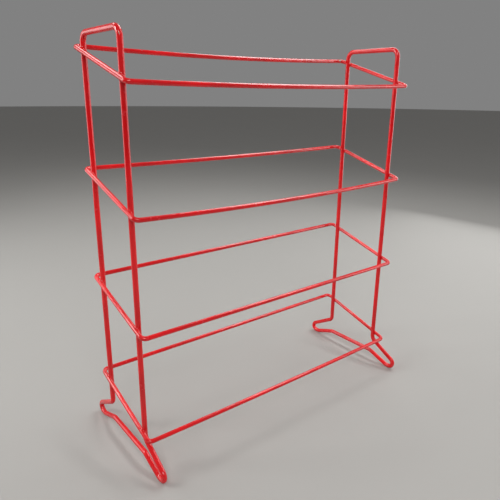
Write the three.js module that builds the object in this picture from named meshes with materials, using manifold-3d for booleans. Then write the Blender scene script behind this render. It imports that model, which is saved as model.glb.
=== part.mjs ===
// A four-tier wire rack: two bent end frames with four sloping wire loops welded between them.
// Millimetres, +Z up, origin on the floor in the middle of the footprint.
// The front, where every tier is lowest, faces -Y; left and right are as seen from the front.
import * as THREE from "three";
import { mergeVertices } from "three/addons/utils/BufferGeometryUtils.js";
import Module from "manifold-3d";

// Wire diameters over the coating. Every other size is to the centreline of a wire.
const FRAME_WIRE = 6;
const TIER_WIRE = 5;

// Tier loops. The overhangs are how far a loop reaches in plan beyond the uprights.
const TIER_LENGTH = 400;
const TIER_DEPTH = 121.5;
const TIER_CORNER_RADIUS = 5.5;
const TIER_TILT = THREE.MathUtils.degToRad(16.6);
const TIER_PITCH = 124;
const FRONT_OVERHANG = 16.2;
const BACK_OVERHANG = 14.2;

// The long bars of some tiers hang a little low in the middle of their span.
const TIERS = [
  { name: "bottom", frontSag: 1.5, backSag: 0 },
  { name: "lower", frontSag: 0, backSag: 0 },
  { name: "upper", frontSag: 3.7, backSag: 1.6 },
  { name: "top", frontSag: 2.4, backSag: 3.5 },
];

// End frames. The handle stands above the place where the top tier crosses the back upright.
const HANDLE_STAND = 15.9;
const HANDLE_RADIUS = 10;

// Feet. Straight upright is left between the knee bend and the bottom tier's front crossing.
const KNEE_TO_TIER = 4.3;
const KNEE_RADIUS = 9;
const LEG_SLOPE = THREE.MathUtils.degToRad(29);
const TOE_SPREAD = 41;
const TOE_RADIUS = 6.4;
const FOOT_RUN = 4;
const RAMP_SLOPE = THREE.MathUtils.degToRad(19.5);
const RAMP_RADIUS = 8;
const RAIL_HEIGHT = 14.2;

// A tier's end bar is pressed into the outside of the uprights, with a weld between them.
const SET_DOWN = 1.9;
const WELD_THICKNESS = 0.6;
const WELD_SPREAD = 0.9;
const CLEARANCE = 0.3;

// Facets.
const WIRE_SIDES = 12;
const WELD_SIDES = 16;
const BEND_STEP = THREE.MathUtils.degToRad(23);
const BAR_STEP = 45;

// Where the uprights stand, and where a tier's end bars cross them, from the tier's own centre.
const FRAME_X = TIER_LENGTH / 2 - (FRAME_WIRE + TIER_WIRE) / 2 + SET_DOWN;
const UPRIGHT_Y = (TIER_DEPTH * Math.cos(TIER_TILT) - FRONT_OVERHANG - BACK_OVERHANG) / 2;
const TIER_SHIFT = (BACK_OVERHANG - FRONT_OVERHANG) / 2;
const FRONT_CROSSING = { y: -UPRIGHT_Y - TIER_SHIFT, rise: (-UPRIGHT_Y - TIER_SHIFT) * Math.tan(TIER_TILT) };
const BACK_CROSSING = { y: UPRIGHT_Y - TIER_SHIFT, rise: (UPRIGHT_Y - TIER_SHIFT) * Math.tan(TIER_TILT) };

// Heights, from the floor up: the toe, the knee above it, the tiers and the handle.
const TOE_CENTRE = new THREE.Vector2(UPRIGHT_Y + TOE_SPREAD - TOE_RADIUS, FRAME_WIRE / 2 + TOE_RADIUS);
const LEG_RUN = TOE_SPREAD - TOE_RADIUS + TOE_RADIUS * Math.sin(LEG_SLOPE);
const KNEE_HEIGHT = TOE_CENTRE.y + TOE_RADIUS * Math.cos(LEG_SLOPE) + LEG_RUN * Math.tan(LEG_SLOPE);
const KNEE_TURN = Math.PI / 2 - LEG_SLOPE;
const KNEE_TOP = KNEE_HEIGHT + KNEE_RADIUS * Math.tan(KNEE_TURN / 2);
const FIRST_TIER_HEIGHT = KNEE_TOP + KNEE_TO_TIER - FRONT_CROSSING.rise;
const TOP_TIER_HEIGHT = FIRST_TIER_HEIGHT + (TIERS.length - 1) * TIER_PITCH;
const HANDLE_HEIGHT = TOP_TIER_HEIGHT + BACK_CROSSING.rise + HANDLE_STAND;

const wasm = await Module();
wasm.setup();

const coating = new THREE.MeshStandardMaterial({ color: 0xc8101e, roughness: 0.28, metalness: 0 });

// Circumradius of a regular section whose flats are as far apart as the round wire is thick.
function sectionRadius(diameter) {
  return diameter / 2 / Math.cos(Math.PI / WIRE_SIDES);
}

// A closed wire bent in the XY plane: straight runs between round bends at its corners.
class BentWire extends THREE.Curve {
  constructor(corners, longestStep = Infinity) {
    super();
    this.points = [];
    this.tangents = [];
    this.longestStep = longestStep;
    corners.forEach(({ point, radius }, index) => {
      const before = corners.at(index - 1).point;
      const after = corners[(index + 1) % corners.length].point;
      this.addBend(point, radius, before, after);
    });
    this.addRun(this.points[0].clone());
  }

  addBend(corner, radius, before, after) {
    const heading = corner.clone().sub(before).normalize();
    const leaving = after.clone().sub(corner).normalize();
    const turn = Math.atan2(heading.cross(leaving), heading.dot(leaving));
    const start = corner.clone().addScaledVector(heading, -radius * Math.tan(Math.abs(turn) / 2));
    const side = Math.sign(turn);
    const centre = start.clone().add(new THREE.Vector2(-heading.y, heading.x).multiplyScalar(side * radius));
    const steps = Math.ceil(Math.abs(turn) / BEND_STEP);
    this.addRun(start);
    for (let step = 0; step <= steps; step += 1) {
      const direction = heading.clone().rotateAround(new THREE.Vector2(), (turn * step) / steps);
      const outward = new THREE.Vector2(direction.y, -direction.x).multiplyScalar(side * radius);
      this.points.push(centre.clone().add(outward));
      this.tangents.push(direction);
    }
  }

  // Stations along a straight run, where it is longer than the longest step.
  addRun(end) {
    if (this.points.length === 0) {
      return;
    }
    const start = this.points.at(-1);
    const along = end.clone().sub(start);
    const steps = Math.ceil(along.length() / this.longestStep);
    for (let step = 1; step < steps; step += 1) {
      this.points.push(start.clone().addScaledVector(along, step / steps));
      this.tangents.push(along.clone().normalize());
    }
  }

  getPointAt(share, target = new THREE.Vector3()) {
    const point = this.points[Math.round(share * this.points.length) % this.points.length];
    return target.set(point.x, point.y, 0);
  }

  // The section is turned by half a facet, so that flats face along and across the wire's plane.
  computeFrenetFrames() {
    const half = Math.PI / WIRE_SIDES;
    const frames = { tangents: [], normals: [], binormals: [] };
    for (const tangent of [...this.tangents, this.tangents[0]]) {
      const along = new THREE.Vector3(tangent.x, tangent.y, 0);
      const normal = new THREE.Vector3(-tangent.y, tangent.x, 0).applyAxisAngle(along, half);
      frames.tangents.push(along);
      frames.normals.push(normal);
      frames.binormals.push(along.clone().cross(normal));
    }
    return frames;
  }
}

function wireGeometry(path, diameter) {
  return new THREE.TubeGeometry(path, path.points.length, sectionRadius(diameter), WIRE_SIDES, true);
}

function toSolid(geometry) {
  const bare = geometry.clone();
  bare.deleteAttribute("normal");
  bare.deleteAttribute("uv");
  const merged = mergeVertices(bare);
  const vertProperties = new Float32Array(merged.attributes.position.array);
  const triVerts = new Uint32Array(merged.index.array);
  return new wasm.Manifold(new wasm.Mesh({ numProp: 3, vertProperties, triVerts }));
}

function toGeometry(solid) {
  const mesh = solid.getMesh();
  const geometry = new THREE.BufferGeometry();
  geometry.setAttribute("position", new THREE.BufferAttribute(mesh.vertProperties, 3));
  geometry.setIndex(new THREE.BufferAttribute(mesh.triVerts, 1));
  geometry.computeVertexNormals();
  return geometry;
}

// A straight length of upright, thickened all round by a growth, standing on the Z axis.
function uprightLength(growth, length) {
  const radius = sectionRadius(FRAME_WIRE + 2 * growth);
  const bar = new THREE.CylinderGeometry(radius, radius, length, WIRE_SIDES);
  bar.rotateY(Math.PI / WIRE_SIDES);
  bar.rotateX(Math.PI / 2);
  return bar;
}

// Half the outline of an end frame, from the handle down to the middle rail; x is depth, y height.
function halfFrameCorners() {
  const toeTurn = Math.PI - LEG_SLOPE;
  const toeCornerX = TOE_CENTRE.x + TOE_RADIUS * Math.tan(toeTurn / 2);
  const rampStartX = TOE_CENTRE.x - FOOT_RUN - RAMP_RADIUS * Math.tan(RAMP_SLOPE / 2);
  const rampEndX = rampStartX - (RAIL_HEIGHT - FRAME_WIRE / 2) / Math.tan(RAMP_SLOPE);
  return [
    { point: new THREE.Vector2(UPRIGHT_Y, HANDLE_HEIGHT), radius: HANDLE_RADIUS },
    { point: new THREE.Vector2(UPRIGHT_Y, KNEE_HEIGHT), radius: KNEE_RADIUS },
    { point: new THREE.Vector2(toeCornerX, FRAME_WIRE / 2), radius: TOE_RADIUS },
    { point: new THREE.Vector2(rampStartX, FRAME_WIRE / 2), radius: RAMP_RADIUS },
    { point: new THREE.Vector2(rampEndX, RAIL_HEIGHT), radius: RAMP_RADIUS },
  ];
}

// One endless wire: handle, two uprights, two spread legs, two toes and the raised middle rail.
function endFrameGeometry() {
  const half = halfFrameCorners();
  const mirrored = half.map(({ point, radius }) => ({ point: new THREE.Vector2(-point.x, point.y), radius }));
  const path = new BentWire([...half, ...mirrored.reverse()]);
  const geometry = wireGeometry(path, FRAME_WIRE);
  geometry.rotateX(Math.PI / 2);
  geometry.rotateZ(Math.PI / 2);
  return geometry;
}

// Lowers the long bars of a tier, most in the middle of their span.
function sagBars(geometry, tier) {
  const down = new THREE.Vector3(0, -Math.sin(TIER_TILT), -Math.cos(TIER_TILT));
  const barEnd = TIER_LENGTH / 2 - TIER_CORNER_RADIUS;
  const position = geometry.attributes.position;
  const vertex = new THREE.Vector3();
  for (let index = 0; index < position.count; index += 1) {
    vertex.fromBufferAttribute(position, index);
    const sag = vertex.y < 0 ? tier.frontSag : tier.backSag;
    const share = Math.max(0, 1 - (vertex.x / barEnd) ** 2);
    vertex.addScaledVector(down, sag * share);
    position.setXYZ(index, vertex.x, vertex.y, vertex.z);
  }
}

// The four places where a tier's end bars cross the uprights, as seen from the tier's centre.
function tierCrossings() {
  return [[-1, "left"], [1, "right"]].flatMap(([side, sideName]) => [
    { side, name: `${sideName}_front`, ...FRONT_CROSSING },
    { side, name: `${sideName}_back`, ...BACK_CROSSING },
  ]);
}

// One endless rectangular wire, with a seat pressed into each end bar where an upright crosses it.
function tierLoopGeometry(tier) {
  const corners = [[1, 1], [-1, 1], [-1, -1], [1, -1]].map(([x, y]) => ({
    point: new THREE.Vector2((x * TIER_LENGTH) / 2, (y * TIER_DEPTH) / 2),
    radius: TIER_CORNER_RADIUS,
  }));
  const geometry = wireGeometry(new BentWire(corners, BAR_STEP), TIER_WIRE);
  sagBars(geometry, tier);
  let loop = toSolid(geometry);
  for (const { side, y, rise } of tierCrossings()) {
    const cutter = uprightLength(WELD_THICKNESS + 2 * CLEARANCE, TIER_WIRE * 3);
    cutter.translate(side * FRAME_X, y, rise);
    cutter.rotateX(-TIER_TILT);
    loop = loop.subtract(toSolid(cutter));
  }
  return toGeometry(loop);
}

// A weld: a thin saddle on the outside of the upright, between it and the seat in the end bar.
function weldGeometry(side) {
  const radius = TIER_WIRE / 2 + WELD_SPREAD;
  const disc = new THREE.CylinderGeometry(radius, radius, FRAME_WIRE, WELD_SIDES);
  disc.rotateZ(Math.PI / 2);
  disc.translate((side * FRAME_WIRE) / 2, 0, 0);
  const saddle = toSolid(uprightLength(CLEARANCE + WELD_THICKNESS, radius * 4))
    .subtract(toSolid(uprightLength(CLEARANCE, radius * 6)))
    .intersect(toSolid(disc));
  return toGeometry(saddle);
}

function part(name, geometry) {
  const mesh = new THREE.Mesh(geometry, coating.clone());
  mesh.name = name;
  return mesh;
}

const rack = new THREE.Group();
rack.name = "wire_rack";

for (const [side, sideName] of [[-1, "left"], [1, "right"]]) {
  const frame = part(`${sideName}_end_frame`, endFrameGeometry());
  frame.position.x = side * FRAME_X;
  rack.add(frame);
}

TIERS.forEach((tier, level) => {
  const tierGroup = new THREE.Group();
  tierGroup.position.set(0, TIER_SHIFT, FIRST_TIER_HEIGHT + level * TIER_PITCH);
  const loop = part(`${tier.name}_tier_loop`, tierLoopGeometry(tier));
  loop.rotation.x = TIER_TILT;
  tierGroup.add(loop);
  for (const { side, name, y, rise } of tierCrossings()) {
    const weld = part(`${tier.name}_weld_${name}`, weldGeometry(side));
    weld.position.set(side * FRAME_X, y, rise);
    tierGroup.add(weld);
  }
  rack.add(tierGroup);
});

export default rack;
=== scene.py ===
"""Coated wire rack: bent wires, coating webs at the welds, a floor, soft lights and a camera."""

import math
import random
from functools import partial
from itertools import product

import bmesh
import bpy
from mathutils import Matrix, Vector, noise


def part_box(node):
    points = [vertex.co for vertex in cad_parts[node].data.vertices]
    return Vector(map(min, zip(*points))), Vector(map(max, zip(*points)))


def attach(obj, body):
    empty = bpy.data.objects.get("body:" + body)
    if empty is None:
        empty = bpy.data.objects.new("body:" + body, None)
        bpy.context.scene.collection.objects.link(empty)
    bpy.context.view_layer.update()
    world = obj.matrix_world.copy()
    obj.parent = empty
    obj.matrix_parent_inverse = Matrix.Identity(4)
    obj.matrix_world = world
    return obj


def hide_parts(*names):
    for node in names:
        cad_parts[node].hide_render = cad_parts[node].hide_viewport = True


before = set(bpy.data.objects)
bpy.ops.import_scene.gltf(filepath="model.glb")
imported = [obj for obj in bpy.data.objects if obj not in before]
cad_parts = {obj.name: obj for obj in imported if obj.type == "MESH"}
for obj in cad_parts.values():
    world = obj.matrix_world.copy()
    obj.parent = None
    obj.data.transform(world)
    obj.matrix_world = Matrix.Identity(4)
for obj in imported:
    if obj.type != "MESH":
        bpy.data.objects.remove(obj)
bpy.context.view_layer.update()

bl_info = {
    "name": "Coated Wire Rack",
    "version": (1, 0, 0),
    "blender": (4, 5, 0),
    "location": "View3D > Sidebar > Rack",
    "description": "Builds a tiered rack of bent, welded and coated steel wire",
    "category": "Add Mesh",
}

MM = 0.001
SIDES = {"left": -1, "right": 1}
ENDS = {"front": -1, "back": 1}

# Sag of each tier's long bars in the middle of their span, in metres: (front bar, back bar).
TIER_SAGS = {
    "bottom": (1.5 * MM, 0.0),
    "lower": (0.0, 0.0),
    "upper": (3.7 * MM, 1.6 * MM),
    "top": (2.4 * MM, 3.5 * MM),
}

LEFT_LOW, LEFT_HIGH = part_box("left_end_frame")
FRAME_WIRE = LEFT_HIGH.x - LEFT_LOW.x
TOE_REACH = LEFT_HIGH.y - FRAME_WIRE / 2
HANDLE_HEIGHT = LEFT_HIGH.z - FRAME_WIRE / 2


# ---------------------------------------------------------------- places read from the frame


def middle(node):
    low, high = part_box(node)
    return (low + high) / 2


def end_frame_x(side_name):
    return middle(f"{side_name}_end_frame").x


def crossing(tier, side_name, end_name):
    """Where a tier's end bar crosses an upright: on its axis, at the height of the weld."""
    weld = middle(f"{tier}_weld_{side_name}_{end_name}")
    return Vector((end_frame_x(side_name), weld.y, weld.z))


def tier_tilt(tier):
    front = crossing(tier, "left", "front")
    back = crossing(tier, "left", "back")
    return math.atan2(back.z - front.z, back.y - front.y)


def tier_middle(tier):
    """The centre of a tier loop, on the line through its two welds at one end."""
    front = crossing(tier, "left", "front")
    y = middle(f"{tier}_tier_loop").y
    return Vector((0, y, front.z + (y - front.y) * math.tan(tier_tilt(tier))))


UPRIGHT_Y = crossing("top", "left", "back").y


# ---------------------------------------------------------------- settings


def linear(hex_colour):
    """An sRGB hex colour as linear red, green and blue."""
    channels = [int(hex_colour[i : i + 2], 16) / 255 for i in (1, 3, 5)]
    return tuple(c / 12.92 if c <= 0.04045 else ((c + 0.055) / 1.055) ** 2.4 for c in channels)


def length_property(name, description, default_mm):
    return bpy.props.FloatProperty(
        name=name, description=description, default=default_mm * MM, unit="LENGTH", precision=4
    )


def angle_property(name, description, default_degrees):
    return bpy.props.FloatProperty(
        name=name, description=description, default=math.radians(default_degrees), subtype="ANGLE"
    )


def colour_property(name, description, default_hex):
    return bpy.props.FloatVectorProperty(
        name=name,
        description=description,
        default=linear(default_hex),
        subtype="COLOR",
        min=0,
        max=1,
    )


class RackSizes(bpy.types.PropertyGroup):
    tier_wire: length_property("Tier wire", "Diameter of the tier wire over its coating", 5)
    tier_corner: length_property("Tier corner", "Bend radius of a tier loop's corners", 5.5)
    handle_bend: length_property("Handle bend", "Bend radius of the handle's corners", 10)
    knee_bend: length_property("Knee bend", "Bend radius where an upright turns into a leg", 9)
    toe_bend: length_property("Toe bend", "Bend radius of the toes", 6.4)
    ramp_bend: length_property("Ramp bend", "Bend radius at both ends of the ramps", 8)
    foot_run: length_property("Foot run", "Straight length that touches the floor", 4)
    rail_height: length_property("Rail height", "Height of the middle rail", 14.2)
    leg_slope: angle_property("Leg slope", "Slope of the legs, below level", 29)
    ramp_slope: angle_property("Ramp slope", "Slope from the foot up to the middle rail", 19.5)


class CoatingLook(bpy.types.PropertyGroup):
    red: colour_property("Red", "Colour of the coating where it is thin", "#EA000F")
    deep_red: colour_property("Deep red", "Colour of the coating where it has pooled", "#D0000C")
    scuff: colour_property("Scuff", "Colour of the coating where it is scuffed", "#D8283A")
    dust: colour_property("Dust", "Colour of the dust on the upper sides", "#D8CFC4")
    # Colour of the rim round a chip: partly the torn coating edge, partly a painted highlight on its
    # upper lip.
    torn_edge_and_glint: colour_property("Primer", "Colour of the torn edge round a chip", "#D9B48A")
    rust: colour_property("Rust", "Colour of the steel where the coating is chipped", "#3A1A10")


class StageLook(bpy.types.PropertyGroup):
    floor: colour_property("Floor", "Colour of the floor", "#AAA8A4")


# ---------------------------------------------------------------- wire bending


def feed(mesh, ring, heading, length, longest_step):
    """Draws the wire on along its heading, ring by ring."""
    steps = max(1, math.ceil(length / longest_step))
    for _ in range(steps):
        grown = bmesh.ops.extrude_edge_only(mesh, edges=ring)["geom"]
        edges = [part for part in grown if isinstance(part, bmesh.types.BMEdge)]
        ring = [edge for edge in edges if edge.is_boundary]
        verts = {vert for edge in ring for vert in edge.verts}
        bmesh.ops.translate(mesh, verts=list(verts), vec=heading * (length / steps))
    return ring


def bend(mesh, ring, centre, angle, longest_step):
    """Bends the wire round a post that stands at the centre."""
    verts = list({vert for edge in ring for vert in edge.verts})
    last = bmesh.ops.spin(
        mesh,
        geom=verts + ring,
        cent=centre,
        axis=(0, 0, 1),
        angle=angle,
        steps=max(2, math.ceil(abs(angle) / longest_step)),
        use_merge=False,
    )["geom_last"]
    return [part for part in last if isinstance(part, bmesh.types.BMEdge)]


WIRE_SEGMENTS = 32
FEED_STEP = 5 * MM
BEND_STEP = math.radians(7)
MERGE_DISTANCE = 0.01 * MM


def bent_wire(corners, diameter):
    """An endless wire in the XY plane, bent from corner to corner; a corner is (point, radius)."""
    mesh = bmesh.new()
    turns = []
    for index, (point, radius) in enumerate(corners):
        before = corners[index - 1][0]
        after = corners[(index + 1) % len(corners)][0]
        heading = (point - before).normalized()
        leaving = (after - point).normalized()
        angle = math.atan2(heading.cross(leaving).z, heading.dot(leaving))
        setback = radius * math.tan(abs(angle) / 2)
        turns.append((point, radius, heading, leaving, angle, setback))
    last_point, _, _, leaving, _, last_setback = turns[-1]
    place = last_point + leaving * last_setback
    across = Matrix.Translation(place) @ leaving.to_track_quat("Z", "Y").to_matrix().to_4x4()
    bmesh.ops.create_circle(mesh, segments=WIRE_SEGMENTS, radius=diameter / 2, matrix=across)
    ring = list(mesh.edges)
    for point, radius, heading, leaving, angle, setback in turns:
        start = point - heading * setback
        ring = feed(mesh, ring, heading, (start - place).length, FEED_STEP)
        inward = Vector((-heading.y, heading.x, 0)) * math.copysign(radius, angle)
        ring = bend(mesh, ring, start + inward, angle, BEND_STEP)
        place = point + leaving * setback
    bmesh.ops.remove_doubles(mesh, verts=mesh.verts, dist=MERGE_DISTANCE)
    bmesh.ops.recalc_face_normals(mesh, faces=mesh.faces)
    return mesh


# The coating is a little thicker in some places than in others, along and around the wire.
COAT_WAVE = 14 * MM
COAT_WAVE_HEIGHT = 0.07 * MM
# How far the pattern moves from one piece to the next, in waves.
COAT_WAVE_SHIFT = (3.7, 1.3, 2.1)


def swell_coating(mesh, seed):
    """Moves the surface in and out by the unevenness of the coating."""
    mesh.normal_update()
    shift = Vector([seed * part for part in COAT_WAVE_SHIFT])
    for vert in mesh.verts:
        vert.co += vert.normal * (noise.noise(vert.co / COAT_WAVE + shift) * COAT_WAVE_HEIGHT)


def require_closed_skin(mesh, name):
    """Raises an error unless a mesh is closed and faces outward."""
    if not mesh.faces or not all(edge.is_manifold and edge.is_contiguous for edge in mesh.edges):
        raise RuntimeError(f"{name} is not closed")
    if mesh.calc_volume(signed=True) <= 0:
        raise RuntimeError(f"{name} faces inward")


def finish_piece(mesh, name, replaced, material):
    """Turns a bmesh into a smooth-shaded piece that rides on the rack in place of CAD nodes."""
    require_closed_skin(mesh, name)
    data = bpy.data.meshes.new(name)
    mesh.to_mesh(data)
    mesh.free()
    data.shade_smooth()
    data.materials.append(material)
    piece = bpy.data.objects.new(name, data)
    bpy.context.scene.collection.objects.link(piece)
    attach(piece, "root")
    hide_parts(*replaced)
    return piece


# ---------------------------------------------------------------- materials


def add_node(tree, kind, output=None, settings=None, inputs=None):
    """Adds a node and returns it, or the named one of its outputs.

    Settings are the node's own properties. Each input is a value, or an output to link to it.
    """
    node = tree.nodes.new(kind)
    for key, value in (settings or {}).items():
        setattr(node, key, value)
    for key, value in (inputs or {}).items():
        if isinstance(value, bpy.types.NodeSocket):
            tree.links.new(value, node.inputs[key])
        else:
            node.inputs[key].default_value = value
    return node if output is None else node.outputs[output]


def new_material(name):
    material = bpy.data.materials.new(name)
    material.use_nodes = True
    material.node_tree.nodes.clear()
    return material, material.node_tree


def opaque(colour):
    return (*colour, 1)


# The Mix node's colour sockets, which share their names with those of its other kinds of data.
MIX_FIRST = 6
MIX_SECOND = 7
MIX_RESULT = 2

# Bare spots, each with its centre and its reach along X, Y and Z: a chip just inside a back corner
# of the top tier, and a burst bubble below a handle's bend.
TIER_CHIPS = [(Vector((192.3, 54.9, 447.8)) * MM, Vector((2.6, 2.2, 0.9)) * MM)]
FRAME_CHIPS = [(Vector((-197.9, -44.9, 452.6)) * MM, Vector((0.45, 1.0, 0.55)) * MM)]
# The pale rim above the bare steel is partly the torn edge of the coating and partly a painted
# highlight on the lip that faces up, which is why it sits above the spot.
RIM_OFFSET = Vector((0, 0, 0.6)) * MM
RIM_GROWTH = 1.15
# How ragged a bare spot's edge is, as a share of its reach, and the size of its notches.
RAGGEDNESS = 0.35
NOTCH_SIZE = 0.8 * MM
# The share of its reach out to which a bare spot is wholly bare.
SPOT_CORE = 0.85
CHIP_DEPTH = 0.2 * MM
BARE_ROUGHNESS = 0.7

# The coating's noise patterns: the size of their features, and how much finer detail they carry.
COATING_PATTERNS = {
    # Thick and thin stretches of coating, a few centimetres long.
    "patches": (35 * MM, 2.0),
    # Marks about 4 mm across where hands and goods slide along the wire.
    "rubbed": (4 * MM, 5.0),
    # The stretches that get those marks.
    "worn": (60 * MM, 1.0),
    # Grains of dust.
    "grains": (0.6 * MM, 4.0),
    # Smears of about a centimetre where handling dulled the gloss.
    "smears": (9 * MM, 4.0),
    # Orange peel: ripples about 2 mm apart.
    "peel": (2 * MM, 0.0),
}
# Heights above the floor: the toes are scuffed most below the first, and not above the second.
SOLE_HEIGHT = 0.2 * MM
SCUFF_HEIGHT = 1.6 * MM
SCUFF_STRENGTH = 0.35
SCUFF_ROUGHNESS = 0.25
# Dust settles where the surface's upward part is more than this.
DUST_SLOPE = 0.5
DUST_STRENGTH = 0.03
SMEAR_ROUGHNESS = 0.1
PEEL_HEIGHT = 0.03 * MM
PEEL_STRENGTH = 0.12
# Dust nibs under the coating: pimples up to 0.9 mm across. They come where a cell's centre lies near
# the surface, which is every few centimetres. Their reach is a share of the cells' spacing.
NIB_SPACING = 9 * MM
NIB_HEIGHT = 0.1 * MM
NIB_REACH = 0.05
COATING_IOR = 1.53
COAT_WEIGHT = 0.15
COAT_ROUGHNESS = 0.04


def spot(add, place, centre, reach):
    """One inside an ellipsoid with a ragged edge, nought outside it."""
    offset = add("ShaderNodeVectorMath", "Vector", {"operation": "SUBTRACT"}, {0: place, 1: centre})
    scaled = add("ShaderNodeVectorMath", "Vector", {"operation": "DIVIDE"}, {0: offset, 1: reach})
    length = add("ShaderNodeVectorMath", "Value", {"operation": "LENGTH"}, {0: scaled})
    notches = add(
        "ShaderNodeTexNoise",
        "Fac",
        inputs={"Vector": place, "Scale": 1 / NOTCH_SIZE, "Detail": 2.0},
    )
    ragged = add(
        "ShaderNodeMapRange",
        "Result",
        inputs={"Value": notches, "To Min": -RAGGEDNESS, "To Max": RAGGEDNESS},
    )
    distance = add("ShaderNodeMath", "Value", {"operation": "ADD"}, {0: length, 1: ragged})
    return add(
        "ShaderNodeMapRange",
        "Result",
        inputs={"Value": distance, "From Min": 1.0, "From Max": SPOT_CORE},
    )


def gloss_dip_coating(name, least_roughness, bare_spots=(), scuffed_toes=False):
    """Gloss red vinyl dip coating, fused in an oven: deep colour, sharp lights, slight orange peel.

    The eye gets a saturated red that is darker where the coating pooled, a soft broad light with a
    sharp one over it, faint ripples, a few dust nibs, rubbed marks and a film of dust on top.
    """
    material, tree = new_material(name)
    add = partial(add_node, tree)
    look = bpy.context.scene.rack_coating
    place = add("ShaderNodeTexCoord", "Object")
    patterns = {
        key: add(
            "ShaderNodeTexNoise",
            "Fac",
            inputs={"Vector": place, "Scale": 1 / size, "Detail": detail},
        )
        for key, (size, detail) in COATING_PATTERNS.items()
    }
    # Each mask is a stretch of a pattern's range: its source, and where it is nought and one.
    ranges = {
        "thin": ("patches", 0.35, 0.65),
        "rubs": ("rubbed", 0.58, 0.72),
        "stretches": ("worn", 0.45, 0.6),
        "sole_rubs": ("rubbed", 0.4, 0.55),
        "dusty": ("grains", 0.38, 0.62),
        "dull": ("smears", 0.35, 0.7),
    }
    masks = {
        key: add(
            "ShaderNodeMapRange",
            "Result",
            inputs={"Value": patterns[source], "From Min": low, "From Max": high},
        )
        for key, (source, low, high) in ranges.items()
    }

    # Thick and thin coating shifts the red.
    colour = add(
        "ShaderNodeMix",
        MIX_RESULT,
        {"data_type": "RGBA"},
        {"Factor": masks["thin"], MIX_FIRST: opaque(look.deep_red), MIX_SECOND: opaque(look.red)},
    )

    # Rubbed marks, and scuffed soles.
    scuffs = add(
        "ShaderNodeMath",
        "Value",
        {"operation": "MULTIPLY"},
        {0: masks["rubs"], 1: masks["stretches"]},
    )
    if scuffed_toes:
        height = add("ShaderNodeSeparateXYZ", "Z", inputs={"Vector": place})
        low = add(
            "ShaderNodeMapRange",
            "Result",
            inputs={"Value": height, "From Min": SCUFF_HEIGHT, "From Max": SOLE_HEIGHT},
        )
        soles = add(
            "ShaderNodeMath", "Value", {"operation": "MULTIPLY"}, {0: low, 1: masks["sole_rubs"]}
        )
        scuffs = add("ShaderNodeMath", "Value", {"operation": "MAXIMUM"}, {0: scuffs, 1: soles})
    faint_scuffs = add(
        "ShaderNodeMath", "Value", {"operation": "MULTIPLY"}, {0: scuffs, 1: SCUFF_STRENGTH}
    )
    colour = add(
        "ShaderNodeMix",
        MIX_RESULT,
        {"data_type": "RGBA"},
        {"Factor": faint_scuffs, MIX_FIRST: colour, MIX_SECOND: opaque(look.scuff)},
    )

    # Dust lies thinly on surfaces that face up.
    outward = add("ShaderNodeNewGeometry", "Normal")
    facing = add("ShaderNodeSeparateXYZ", "Z", inputs={"Vector": outward})
    upward = add(
        "ShaderNodeMapRange",
        "Result",
        inputs={"Value": facing, "From Min": DUST_SLOPE, "From Max": 1.0, "To Max": DUST_STRENGTH},
    )
    dust = add("ShaderNodeMath", "Value", {"operation": "MULTIPLY"}, {0: upward, 1: masks["dusty"]})
    colour = add(
        "ShaderNodeMix",
        MIX_RESULT,
        {"data_type": "RGBA"},
        {"Factor": dust, MIX_FIRST: colour, MIX_SECOND: opaque(look.dust)},
    )

    # Smears and scuffs are less glossy.
    smeared = add(
        "ShaderNodeMapRange",
        "Result",
        inputs={
            "Value": masks["dull"],
            "To Min": least_roughness,
            "To Max": least_roughness + SMEAR_ROUGHNESS,
        },
    )
    scuffed = add(
        "ShaderNodeMath", "Value", {"operation": "MULTIPLY"}, {0: scuffs, 1: SCUFF_ROUGHNESS}
    )
    roughness = add("ShaderNodeMath", "Value", {"operation": "ADD"}, {0: smeared, 1: scuffed})

    # Orange peel, with dust nibs over it.
    normal = add(
        "ShaderNodeBump",
        "Normal",
        inputs={"Strength": PEEL_STRENGTH, "Distance": PEEL_HEIGHT, "Height": patterns["peel"]},
    )
    cells = add(
        "ShaderNodeTexVoronoi",
        "Distance",
        {"feature": "F1"},
        {"Vector": place, "Scale": 1 / NIB_SPACING},
    )
    nibs = add(
        "ShaderNodeMapRange",
        "Result",
        inputs={"Value": cells, "From Min": NIB_REACH, "From Max": 0.0},
    )
    normal = add(
        "ShaderNodeBump",
        "Normal",
        inputs={"Strength": 1.0, "Distance": NIB_HEIGHT, "Height": nibs, "Normal": normal},
    )

    # Each spot gets a pale rim set a little above it, partly torn edge and partly painted highlight,
    # over rusty bare steel.
    for centre, reach in bare_spots:
        rim = spot(add, place, centre + RIM_OFFSET, reach * RIM_GROWTH)
        hole = spot(add, place, centre, reach)
        for factor, spot_colour in ((rim, look.torn_edge_and_glint), (hole, look.rust)):
            colour = add(
                "ShaderNodeMix",
                MIX_RESULT,
                {"data_type": "RGBA"},
                {"Factor": factor, MIX_FIRST: colour, MIX_SECOND: opaque(spot_colour)},
            )
        bare = add(
            "ShaderNodeMath", "Value", {"operation": "MULTIPLY"}, {0: hole, 1: BARE_ROUGHNESS}
        )
        roughness = add(
            "ShaderNodeMath", "Value", {"operation": "MAXIMUM"}, {0: roughness, 1: bare}
        )
        normal = add(
            "ShaderNodeBump",
            "Normal",
            inputs={"Strength": 1.0, "Distance": -CHIP_DEPTH, "Height": hole, "Normal": normal},
        )

    surface = add(
        "ShaderNodeBsdfPrincipled",
        "BSDF",
        inputs={
            "Base Color": colour,
            "Metallic": 0.0,
            "Roughness": roughness,
            "IOR": COATING_IOR,
            "Normal": normal,
            "Coat Weight": COAT_WEIGHT,
            "Coat Roughness": COAT_ROUGHNESS,
            "Coat Normal": normal,
        },
    )
    add("ShaderNodeOutputMaterial", inputs={"Surface": surface})
    return material


MOTTLE_SIZE = 250 * MM
MOTTLE_DARKENING = 0.96
PAINT_ROUGHNESS = 0.75


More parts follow.
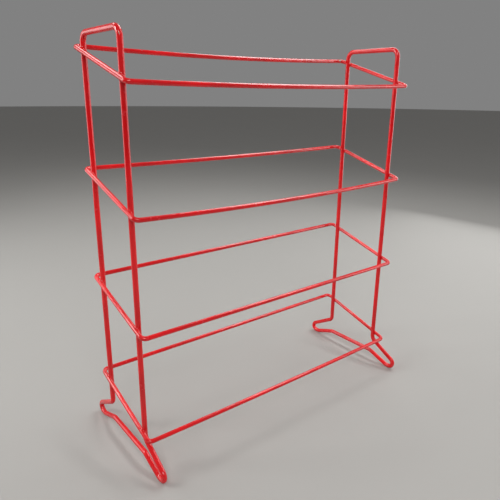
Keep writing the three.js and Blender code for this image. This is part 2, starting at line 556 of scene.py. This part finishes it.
def floor_paint():
    """Matt pale floor paint, rolled on: even, with a faint broad mottle."""
    material, tree = new_material("matt_floor_paint")
    add = partial(add_node, tree)
    look = bpy.context.scene.rack_stage
    place = add("ShaderNodeTexCoord", "Object")
    mottle = add(
        "ShaderNodeTexNoise",
        "Fac",
        inputs={"Vector": place, "Scale": 1 / MOTTLE_SIZE, "Detail": 3.0},
    )
    darker = [MOTTLE_DARKENING * part for part in look.floor]
    tint = add(
        "ShaderNodeMix",
        MIX_RESULT,
        {"data_type": "RGBA"},
        {"Factor": mottle, MIX_FIRST: opaque(darker), MIX_SECOND: opaque(look.floor)},
    )
    surface = add(
        "ShaderNodeBsdfPrincipled",
        "BSDF",
        inputs={"Base Color": tint, "Roughness": PAINT_ROUGHNESS},
    )
    add("ShaderNodeOutputMaterial", inputs={"Surface": surface})
    return material


# ---------------------------------------------------------------- operators


class RACK_OT_end_frames(bpy.types.Operator):
    """Bend the two end frames, each with its handle, uprights, legs, toes and middle rail"""

    bl_idname = "rack.end_frames"
    bl_label = "End Frames"

    ROUGHNESS = 0.12

    def outline(self, sizes):
        """Corners of the back half of an end frame's outline, from handle to middle rail."""
        toe_y = TOE_REACH - sizes.toe_bend
        toe_z = FRAME_WIRE / 2 + sizes.toe_bend
        leg_y = toe_y + sizes.toe_bend * math.sin(sizes.leg_slope)
        leg_z = toe_z + sizes.toe_bend * math.cos(sizes.leg_slope)
        knee_z = leg_z + (leg_y - UPRIGHT_Y) * math.tan(sizes.leg_slope)
        toe_corner_y = toe_y + sizes.toe_bend * math.tan((math.pi - sizes.leg_slope) / 2)
        ramp_start_y = toe_y - sizes.foot_run - sizes.ramp_bend * math.tan(sizes.ramp_slope / 2)
        ramp_rise = sizes.rail_height - FRAME_WIRE / 2
        ramp_end_y = ramp_start_y - ramp_rise / math.tan(sizes.ramp_slope)
        return [
            (Vector((UPRIGHT_Y, HANDLE_HEIGHT, 0)), sizes.handle_bend),
            (Vector((UPRIGHT_Y, knee_z, 0)), sizes.knee_bend),
            (Vector((toe_corner_y, FRAME_WIRE / 2, 0)), sizes.toe_bend),
            (Vector((ramp_start_y, FRAME_WIRE / 2, 0)), sizes.ramp_bend),
            (Vector((ramp_end_y, sizes.rail_height, 0)), sizes.ramp_bend),
        ]

    def execute(self, context):
        half = self.outline(context.scene.rack_sizes)
        mirrored = [(Vector((-point.x, point.y, 0)), radius) for point, radius in reversed(half)]
        upright = Matrix.Rotation(math.pi / 2, 4, "Z") @ Matrix.Rotation(math.pi / 2, 4, "X")
        coating = gloss_dip_coating(
            "gloss_red_dip_coating_frames", self.ROUGHNESS, FRAME_CHIPS, scuffed_toes=True
        )
        for seed, side_name in enumerate(SIDES):
            mesh = bent_wire(half + mirrored, FRAME_WIRE)
            stand = Matrix.Translation((end_frame_x(side_name), 0, 0)) @ upright
            bmesh.ops.transform(mesh, matrix=stand, verts=mesh.verts)
            swell_coating(mesh, seed)
            node = f"{side_name}_end_frame"
            finish_piece(mesh, f"{node}_wire", [node], coating)
        return {"FINISHED"}


class RACK_OT_tier_loops(bpy.types.Operator):
    """Bend the tier loops, each a sloping rectangle of wire whose long bars may hang a little low"""

    bl_idname = "rack.tier_loops"
    bl_label = "Tier Loops"

    ROUGHNESS = 0.14
    # The CAD wires have this many flats, and are measured here across their corners.
    CAD_FLATS = 12

    def execute(self, context):
        sizes = context.scene.rack_sizes
        coating = gloss_dip_coating("gloss_red_dip_coating_tiers", self.ROUGHNESS, TIER_CHIPS)
        for seed, (tier, sags) in enumerate(TIER_SAGS.items()):
            node = f"{tier}_tier_loop"
            low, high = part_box(node)
            tilt = tier_tilt(tier)
            cad_width = sizes.tier_wire / math.cos(math.pi / self.CAD_FLATS)
            half_length = (high.x - low.x - sizes.tier_wire) / 2
            half_depth = (high.y - low.y - cad_width) / 2 / math.cos(tilt)
            corners = [
                (Vector((x * half_length, y * half_depth, 0)), sizes.tier_corner)
                for x, y in ((1, 1), (-1, 1), (-1, -1), (1, -1))
            ]
            mesh = bent_wire(corners, sizes.tier_wire)
            centre = tier_middle(tier)
            place = Matrix.Translation(centre) @ Matrix.Rotation(tilt, 4, "X")
            bmesh.ops.transform(mesh, matrix=place, verts=mesh.verts)
            bar_end = half_length - sizes.tier_corner
            for vert in mesh.verts:
                sag = sags[0] if vert.co.y < centre.y else sags[1]
                vert.co.z -= sag * max(0, 1 - (vert.co.x / bar_end) ** 2)
            swell_coating(mesh, seed + len(SIDES))
            finish_piece(mesh, f"{node}_wire", [node], coating)
        return {"FINISHED"}


class RACK_OT_coating_webs(bpy.types.Operator):
    """Run the coating into the corners where a tier's end bar crosses an upright"""

    bl_idname = "rack.coating_webs"
    bl_label = "Coating Webs"

    ROUGHNESS = 0.1
    # Half the length of wire that each web covers.
    STUB = 7.5 * MM
    VOXEL = 0.3 * MM
    # Smoothing passes: the more there are, the further the coating runs into the corners.
    FEWEST_PASSES = 110
    MOST_PASSES = 150
    SEED = 7

    def stub(self, mesh, diameter, axis, centre):
        """A short closed length of wire along an axis."""
        turn = axis.to_track_quat("Z", "Y").to_matrix().to_4x4()
        bmesh.ops.create_cone(
            mesh,
            cap_ends=True,
            segments=WIRE_SEGMENTS,
            radius1=diameter / 2,
            radius2=diameter / 2,
            depth=2 * self.STUB,
            matrix=Matrix.Translation(centre) @ turn,
        )

    def web(self, side, tilt, bar_offset, tier_wire, passes):
        """Both wires' stubs fused into one skin, smoothed until coating fills their corners."""
        mesh = bmesh.new()
        along_bar = Vector((0, math.cos(tilt), math.sin(tilt)))
        self.stub(mesh, FRAME_WIRE, Vector((0, 0, 1)), Vector((0, 0, 0)))
        self.stub(mesh, tier_wire, along_bar, Vector((side * bar_offset, 0, 0)))
        data = bpy.data.meshes.new("web")
        mesh.to_mesh(data)
        mesh.free()
        fused = bpy.data.objects.new("web", data)
        bpy.context.scene.collection.objects.link(fused)
        remesh = fused.modifiers.new("skin", "REMESH")
        remesh.mode = "VOXEL"
        remesh.voxel_size = self.VOXEL
        skin = bmesh.new()
        depsgraph = bpy.context.evaluated_depsgraph_get()
        skin.from_object(fused, depsgraph)
        bpy.data.objects.remove(fused)
        bpy.data.meshes.remove(data)
        for _ in range(passes):
            bmesh.ops.smooth_vert(
                skin,
                verts=skin.verts,
                factor=0.5,
                use_axis_x=True,
                use_axis_y=True,
                use_axis_z=True,
            )
        return skin

    def execute(self, context):
        tier_wire = context.scene.rack_sizes.tier_wire
        coating = gloss_dip_coating("gloss_red_dip_coating_pooled", self.ROUGHNESS)
        draws = random.Random(self.SEED)
        for tier in TIER_SAGS:
            bar_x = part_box(f"{tier}_tier_loop")[1].x - tier_wire / 2
            for (side_name, side), end_name in product(SIDES.items(), ENDS):
                place = crossing(tier, side_name, end_name)
                passes = draws.randint(self.FEWEST_PASSES, self.MOST_PASSES)
                skin = self.web(side, tier_tilt(tier), bar_x - abs(place.x), tier_wire, passes)
                bmesh.ops.translate(skin, verts=skin.verts, vec=place)
                node = f"{tier}_weld_{side_name}_{end_name}"
                name = f"{tier}_web_{side_name}_{end_name}"
                finish_piece(skin, name, [node], coating)
        return {"FINISHED"}


class RACK_OT_stage(bpy.types.Operator):
    """Lay the floor, hang the soft lights and set the camera"""

    bl_idname = "rack.stage"
    bl_label = "Stage"

    CAMERA_PLACE = Vector((-400.5, -487.4, 407.5)) * MM
    CAMERA_AZIMUTH = math.radians(-38.256)
    CAMERA_ELEVATION = math.radians(17.632)
    CAMERA_ROLL = math.radians(0.517)
    CAMERA_LENS = 36.487
    SENSOR = 36
    FLOOR_RADIUS = 12
    FLOOR_SIDES = 96
    ROOM_LIGHT = 0.22
    # Name, place in metres, width, height, watts. Each faces the aim, a little above the rack.
    LIGHTS = [
        ("left_window", (-0.95, 0.95, 0.5), 0.9, 0.85, 4.6),
        ("right_window", (1.2, 0.1, 0.5), 0.9, 0.85, 3.6),
        ("upper_back_window", (-0.4, 1.1, 1.5), 0.5, 0.35, 3.0),
        ("upper_left_window", (-1.05, 0.6, 1.0), 0.25, 0.5, 5.0),
        ("overhead_right_softbox", (0.95, 0.15, 1.45), 1.8, 0.35, 12.5),
        ("front_right_window", (1.25, -0.95, 0.5), 0.35, 0.8, 3.2),
        ("front_left_softbox", (-1.1, -1.6, 1.9), 1.3, 1.0, 25),
    ]
    LIGHT_AIM = Vector((0, 0, 0.5))
    LIGHT_SPREAD = math.radians(170)

    def floor(self, scene):
        mesh = bmesh.new()
        bmesh.ops.create_circle(
            mesh, cap_ends=True, segments=self.FLOOR_SIDES, radius=self.FLOOR_RADIUS
        )
        data = bpy.data.meshes.new("floor")
        mesh.to_mesh(data)
        mesh.free()
        data.materials.append(floor_paint())
        floor = bpy.data.objects.new("floor", data)
        scene.collection.objects.link(floor)

    def lights(self, scene):
        for name, place, width, height, power in self.LIGHTS:
            data = bpy.data.lights.new(name, "AREA")
            data.shape = "RECTANGLE"
            data.size = width
            data.size_y = height
            data.energy = power
            data.spread = self.LIGHT_SPREAD
            light = bpy.data.objects.new(name, data)
            light.location = place
            light.visible_camera = False
            toward = self.LIGHT_AIM - light.location
            light.rotation_euler = toward.to_track_quat("-Z", "Y").to_euler()
            scene.collection.objects.link(light)

    def world(self, scene):
        world = bpy.data.worlds.new("studio")
        world.use_nodes = True
        background = world.node_tree.nodes["Background"]
        background.inputs["Color"].default_value = (1, 1, 1, 1)
        background.inputs["Strength"].default_value = self.ROOM_LIGHT
        scene.world = world

    def camera(self, scene):
        data = bpy.data.cameras.new("camera")
        data.sensor_width = self.SENSOR
        data.lens = self.CAMERA_LENS
        camera = bpy.data.objects.new("camera", data)
        swing = Matrix.Rotation(self.CAMERA_AZIMUTH, 4, "Z")
        nod = Matrix.Rotation(math.pi / 2 - self.CAMERA_ELEVATION, 4, "X")
        roll = Matrix.Rotation(self.CAMERA_ROLL, 4, "Z")
        camera.matrix_world = Matrix.Translation(self.CAMERA_PLACE) @ swing @ nod @ roll
        scene.collection.objects.link(camera)
        scene.camera = camera

    def execute(self, context):
        scene = context.scene
        self.floor(scene)
        self.lights(scene)
        self.world(scene)
        self.camera(scene)
        scene.view_settings.view_transform = "Standard"
        return {"FINISHED"}


class RACK_PT_panel(bpy.types.Panel):
    """Lists the rack's operators, sizes and colours"""

    bl_idname = "RACK_PT_panel"
    bl_label = "Coated Wire Rack"
    bl_space_type = "VIEW_3D"
    bl_region_type = "UI"
    bl_category = "Rack"

    def draw(self, context):
        layout = self.layout
        for operator in OPERATORS:
            layout.operator(operator.bl_idname)
        for settings in SETTINGS:
            group = getattr(context.scene, settings)
            box = layout.box()
            for key in group.__annotations__:
                box.prop(group, key)


SETTINGS = {"rack_sizes": RackSizes, "rack_coating": CoatingLook, "rack_stage": StageLook}
OPERATORS = [RACK_OT_stage, RACK_OT_end_frames, RACK_OT_tier_loops, RACK_OT_coating_webs]


def register():
    for cls in (*SETTINGS.values(), *OPERATORS, RACK_PT_panel):
        bpy.utils.register_class(cls)
    for key, group in SETTINGS.items():
        setattr(bpy.types.Scene, key, bpy.props.PointerProperty(type=group))


def unregister():
    for key in SETTINGS:
        delattr(bpy.types.Scene, key)
    for cls in (RACK_PT_panel, *reversed(OPERATORS), *reversed(SETTINGS.values())):
        bpy.utils.unregister_class(cls)


def main():
    register()
    for operator in OPERATORS:
        area, name = operator.bl_idname.split(".")
        getattr(getattr(bpy.ops, area), name)()


if __name__ == "__main__":
    main()
